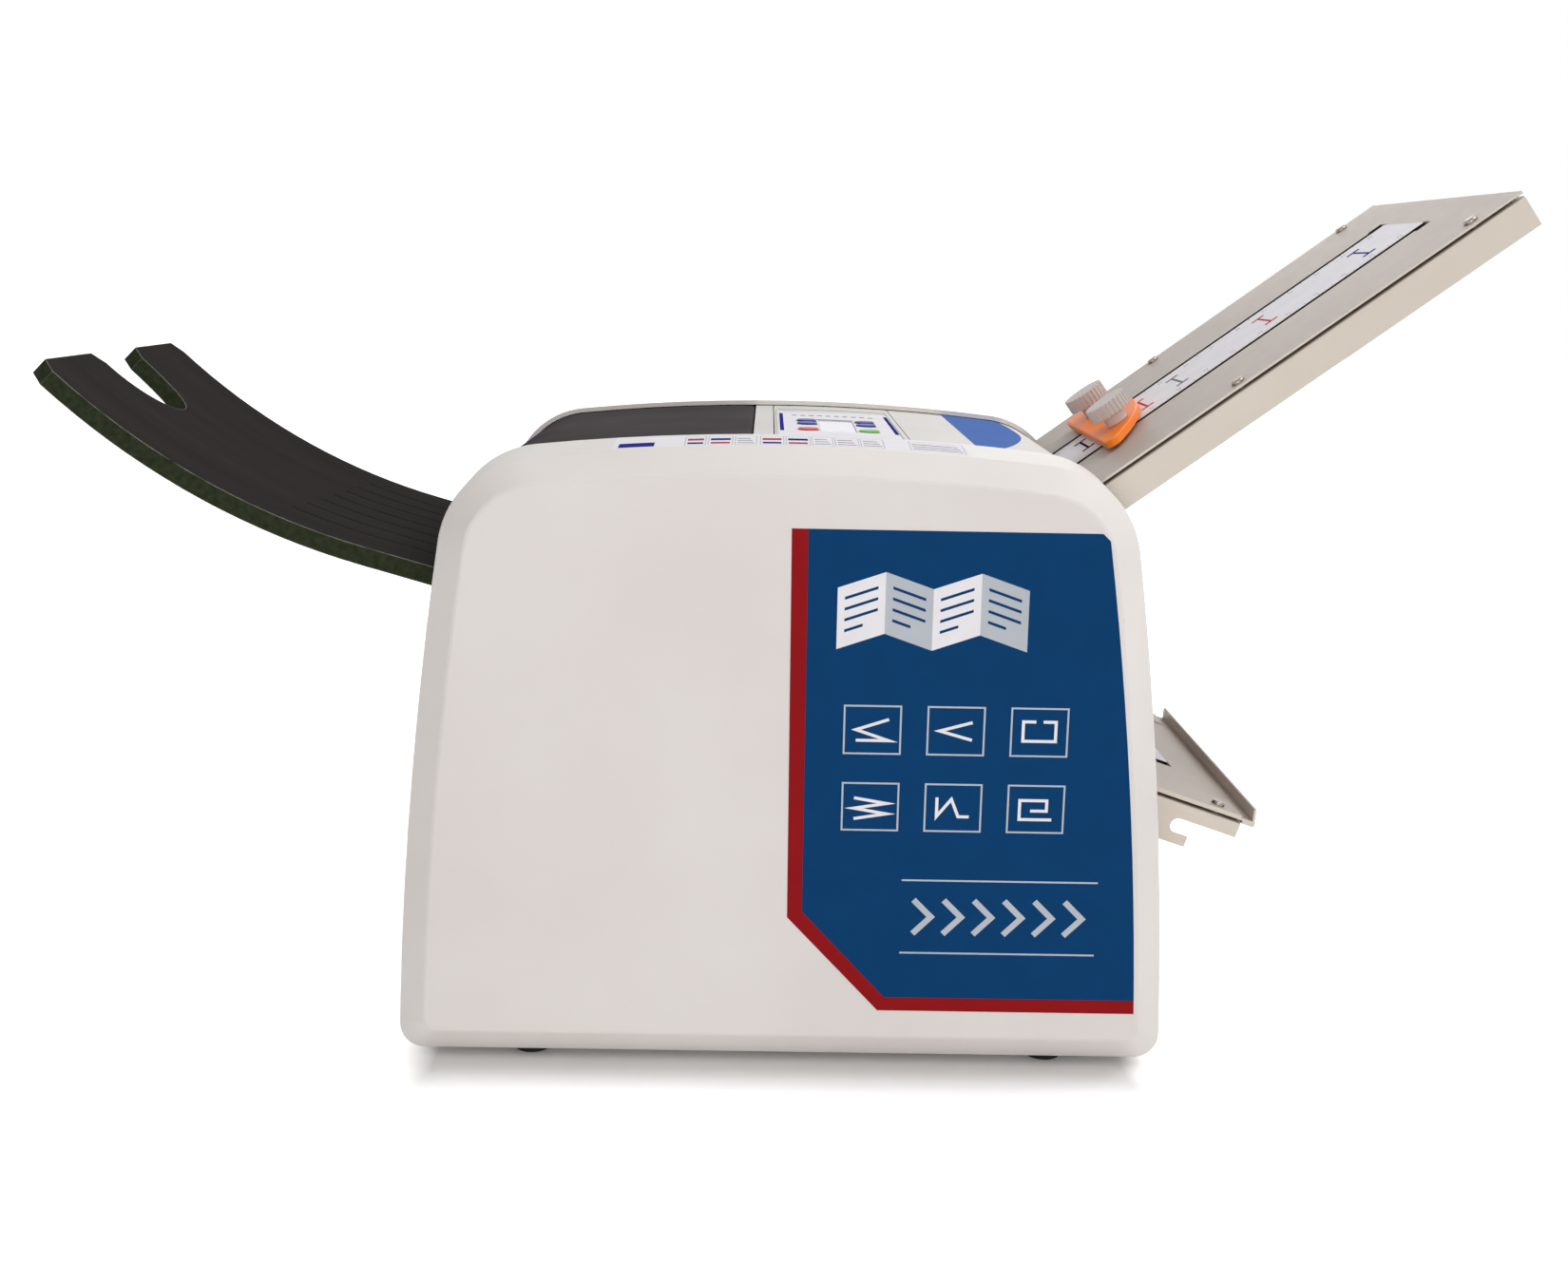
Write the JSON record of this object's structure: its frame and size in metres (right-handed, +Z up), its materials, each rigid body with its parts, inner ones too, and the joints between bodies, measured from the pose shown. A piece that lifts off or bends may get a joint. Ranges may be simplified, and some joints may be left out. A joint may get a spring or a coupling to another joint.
{
  "type": "paper folding machine",
  "caption": "Desktop buckle paper folder with curved feed tray, rounded pale casing, control panel, and upper and lower fold plates with orange sliding stops.",
  "frame": {"origin": "on the resting plane, below the middle of the overall length", "axes": "+X from the feed tray towards the fold plates, +Y along the rollers from the near side cover to the far one, +Z up"},
  "size_m": [0.8488, 0.384, 0.5032],
  "materials": {
    "cover_plastic": "warm white moulded plastic, satin",
    "supply_case": "black potted power module",
    "dark_plastic": "dark grey moulded plastic with a fine grain",
    "panel_plastic": "pale grey moulded plastic",
    "screw_steel": "bright plated steel",
    "frame_steel": "zinc-plated sheet steel",
    "bearing_steel": "ground bearing steel",
    "foot_rubber": "black moulded rubber",
    "window_plastic": "pale lilac display window",
    "tray_plastic": "black moulded plastic with a light grain",
    "guide_steel": "zinc-plated sheet steel",
    "pad_rubber": "soft grey rubber",
    "motor_metal": "dark painted motor housing",
    "belt_rubber": "black belt rubber",
    "board_laminate": "green circuit board laminate",
    "inlet_plastic": "black moulded plastic",
    "roller_rubber": "ground rubber roller cover",
    "shaft_steel": "turned steel",
    "plate_metal": "warm satin anodised aluminium",
    "orange_plastic": "bright orange moulded plastic",
    "bar_steel": "bright steel strip",
    "knob_plastic": "pale warm grey fluted plastic",
    "key_blue": "blue key cap",
    "key_red": "red key cap",
    "key_green": "green key cap"
  },
  "bodies": {
    "machine": {"near_side_cover": "cover_plastic", "far_side_cover": "cover_plastic", "cover_screws": "screw_steel", "near_side_frame": "frame_steel", "far_side_frame": "frame_steel", "frame_rods_and_pins": "frame_steel", "shaft_bearings": "bearing_steel", "base_plate": "frame_steel", "rubber_feet": "foot_rubber", "top_bridge": "panel_plastic", "control_panel": "panel_plastic", "rear_top_cover": "panel_plastic", "rear_upper_panel": "cover_plastic", "rear_lower_panel": "cover_plastic", "front_panel": "cover_plastic", "display_window": "window_plastic", "lid_hinge_pin": "screw_steel", "feed_tray": "tray_plastic", "paper_guides": "guide_steel", "separator_pad": "pad_rubber", "exit_tray": "tray_plastic", "drive_motor": "motor_metal", "timing_belts": "belt_rubber", "control_board": "board_laminate", "power_inlet": "inlet_plastic", "power_supply": "supply_case"},
    "lid": {"feed_lid": "dark_plastic"},
    "main_roller": {"main_roller_sleeve": "roller_rubber", "main_roller_shaft": "shaft_steel"},
    "upper_roller": {"upper_roller_sleeve": "roller_rubber", "upper_roller_shaft": "shaft_steel"},
    "rear_roller": {"rear_roller_sleeve": "roller_rubber", "rear_roller_shaft": "shaft_steel"},
    "lower_roller": {"lower_roller_sleeve": "roller_rubber", "lower_roller_shaft": "shaft_steel"},
    "feed_roller": {"feed_wheel": "pad_rubber", "feed_shaft": "shaft_steel"},
    "motor_rotor": {"motor_pulley": "shaft_steel"},
    "upper_plate": {"upper_plate_sheet": "plate_metal", "upper_plate_channel": "plate_metal", "upper_plate_screws": "screw_steel"},
    "upper_stop": {"upper_stop_clamp": "orange_plastic", "upper_stop_bar": "bar_steel"},
    "upper_near_knob": {"upper_near_knob": "knob_plastic"},
    "upper_far_knob": {"upper_far_knob": "knob_plastic"},
    "lower_plate": {"lower_plate_sheet": "plate_metal", "lower_plate_channel": "plate_metal", "lower_plate_screws": "screw_steel"},
    "lower_stop": {"lower_stop_clamp": "orange_plastic", "lower_stop_bar": "bar_steel"},
    "lower_near_knob": {"lower_near_knob": "knob_plastic"},
    "lower_far_knob": {"lower_far_knob": "knob_plastic"},
    "power_rocker": {"power_rocker": "inlet_plastic"},
    "fold_key": {"fold_key": "key_blue"},
    "count_key": {"count_key": "key_blue"},
    "stop_key": {"stop_key": "key_red"},
    "speed_key": {"speed_key": "key_blue"},
    "test_key": {"test_key": "key_blue"},
    "start_key": {"start_key": "key_green"}
  },
  "joints": [
    {"name": "lid_hinge", "type": "hinge", "parent": "machine", "child": "lid", "pos_m": [-0.01623, 0, 0.35415], "axis": [0, 1, 0], "range_deg": [0, 80]},
    {"name": "main_roller_spin", "type": "hinge", "parent": "machine", "child": "main_roller", "pos_m": [0.06222, 0, 0.21542], "axis": [0, 1, 0], "continuous": true},
    {"name": "upper_roller_spin", "type": "hinge", "parent": "machine", "child": "upper_roller", "pos_m": [0.03849, 0, 0.24762], "axis": [0, 1, 0], "continuous": true},
    {"name": "rear_roller_spin", "type": "hinge", "parent": "machine", "child": "rear_roller", "pos_m": [0.10162, 0, 0.22237], "axis": [0, 1, 0], "continuous": true},
    {"name": "lower_roller_spin", "type": "hinge", "parent": "machine", "child": "lower_roller", "pos_m": [0.05874, 0, 0.17558], "axis": [0, 1, 0], "continuous": true},
    {"name": "feed_roller_spin", "type": "hinge", "parent": "machine", "child": "feed_roller", "pos_m": [-0.06083, 0, 0.2582], "axis": [0, 1, 0], "continuous": true},
    {"name": "motor_spin", "type": "hinge", "parent": "machine", "child": "motor_rotor", "pos_m": [0.13917, 0, 0.076], "axis": [0, 1, 0], "continuous": true},
    {"name": "upper_plate_slide", "type": "slide", "parent": "machine", "child": "upper_plate", "axis": [0.8049, 0, 0.5934], "range_m": [0, 0.12]},
    {"name": "lower_plate_slide", "type": "slide", "parent": "machine", "child": "lower_plate", "axis": [0.9489, 0, -0.3156], "range_m": [0, 0.12]},
    {"name": "upper_stop_slide", "type": "slide", "parent": "upper_plate", "child": "upper_stop", "axis": [0.8049, 0, 0.5934], "range_m": [-0.014, 0.19]},
    {"name": "lower_stop_slide", "type": "slide", "parent": "lower_plate", "child": "lower_stop", "axis": [0.9489, 0, -0.3156], "range_m": [-0.045, 0.055]},
    {"name": "upper_near_knob_turn", "type": "hinge", "parent": "upper_stop", "child": "upper_near_knob", "pos_m": [0.21723, -0.039, 0.35704], "axis": [-0.5934, 0, 0.8049], "range_deg": [0, 360]},
    {"name": "upper_far_knob_turn", "type": "hinge", "parent": "upper_stop", "child": "upper_far_knob", "pos_m": [0.21723, 0.039, 0.35704], "axis": [-0.5934, 0, 0.8049], "range_deg": [0, 360]},
    {"name": "lower_near_knob_turn", "type": "hinge", "parent": "lower_stop", "child": "lower_near_knob", "pos_m": [0.18331, -0.039, 0.16851], "axis": [0.3156, 0, 0.9489], "range_deg": [0, 360]},
    {"name": "lower_far_knob_turn", "type": "hinge", "parent": "lower_stop", "child": "lower_far_knob", "pos_m": [0.18331, 0.039, 0.16851], "axis": [0.3156, 0, 0.9489], "range_deg": [0, 360]},
    {"name": "fold_key_press", "type": "slide", "parent": "machine", "child": "fold_key", "axis": [0, 0, -1], "range_m": [0, 0.001], "stiffness_N_per_m": 500},
    {"name": "count_key_press", "type": "slide", "parent": "machine", "child": "count_key", "axis": [0, 0, -1], "range_m": [0, 0.001], "stiffness_N_per_m": 500},
    {"name": "stop_key_press", "type": "slide", "parent": "machine", "child": "stop_key", "axis": [0, 0, -1], "range_m": [0, 0.001], "stiffness_N_per_m": 500},
    {"name": "speed_key_press", "type": "slide", "parent": "machine", "child": "speed_key", "axis": [0, 0, -1], "range_m": [0, 0.001], "stiffness_N_per_m": 500},
    {"name": "test_key_press", "type": "slide", "parent": "machine", "child": "test_key", "axis": [0, 0, -1], "range_m": [0, 0.001], "stiffness_N_per_m": 500},
    {"name": "start_key_press", "type": "slide", "parent": "machine", "child": "start_key", "axis": [0, 0, -1], "range_m": [0, 0.001], "stiffness_N_per_m": 500},
    {"name": "rocker_tilt", "type": "hinge", "parent": "machine", "child": "power_rocker", "pos_m": [0.22389, 0.0715, 0.062], "axis": [0, -1, 0], "range_deg": [0, 10]}
  ],
  "couplings": [
    {"joint": "upper_roller_spin", "follows": "main_roller_spin", "ratio": -1.2222},
    {"joint": "rear_roller_spin", "follows": "main_roller_spin", "ratio": -1.2222},
    {"joint": "lower_roller_spin", "follows": "main_roller_spin", "ratio": -1.2222},
    {"joint": "feed_roller_spin", "follows": "main_roller_spin", "ratio": -1.2222},
    {"joint": "motor_spin", "follows": "main_roller_spin", "ratio": 2.4}
  ]
}
